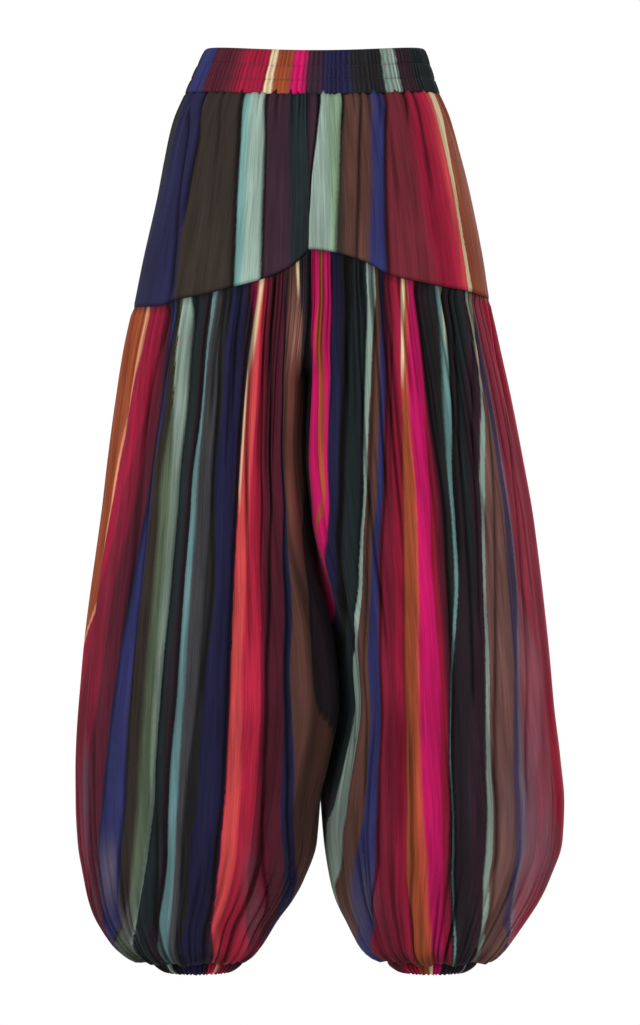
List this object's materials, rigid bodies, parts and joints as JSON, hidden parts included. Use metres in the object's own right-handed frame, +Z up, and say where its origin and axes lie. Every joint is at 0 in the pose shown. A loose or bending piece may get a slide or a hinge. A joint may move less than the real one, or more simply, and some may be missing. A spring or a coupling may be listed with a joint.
{
  "type": "balloon trousers",
  "caption": "Full balloon trousers with an elastic waistband, a dipped hip yoke, gathered sheer legs and narrow elastic ankle cuffs, filled out as worn.",
  "frame": {"origin": "middle of the waistband, halfway up it, where the wearer's waist holds the garment", "axes": "+Z up along the body, front towards -Y, the wearer's left towards +X"},
  "size_m": [0.5469, 0.2745, 1.04],
  "materials": {
    "band_cloth": "striped crinkle georgette over three rows of elastic, puckered, matt with a soft sheen",
    "yoke_cloth": "striped crinkle georgette, close and almost opaque, matt with a soft sheen",
    "leg_cloth": "sheer striped crinkle georgette, gathered, the back layer showing through",
    "cuff_cloth": "striped crinkle georgette shirred on elastic"
  },
  "bodies": {
    "root": {"waistband": "band_cloth", "yoke_front_left": "yoke_cloth", "yoke_front_right": "yoke_cloth", "yoke_back_left": "yoke_cloth", "yoke_back_right": "yoke_cloth", "leg_front_left": "leg_cloth", "leg_front_right": "leg_cloth", "leg_back_left": "leg_cloth", "leg_back_right": "leg_cloth", "cuff_left": "cuff_cloth", "cuff_right": "cuff_cloth"}
  },
  "joints": []
}
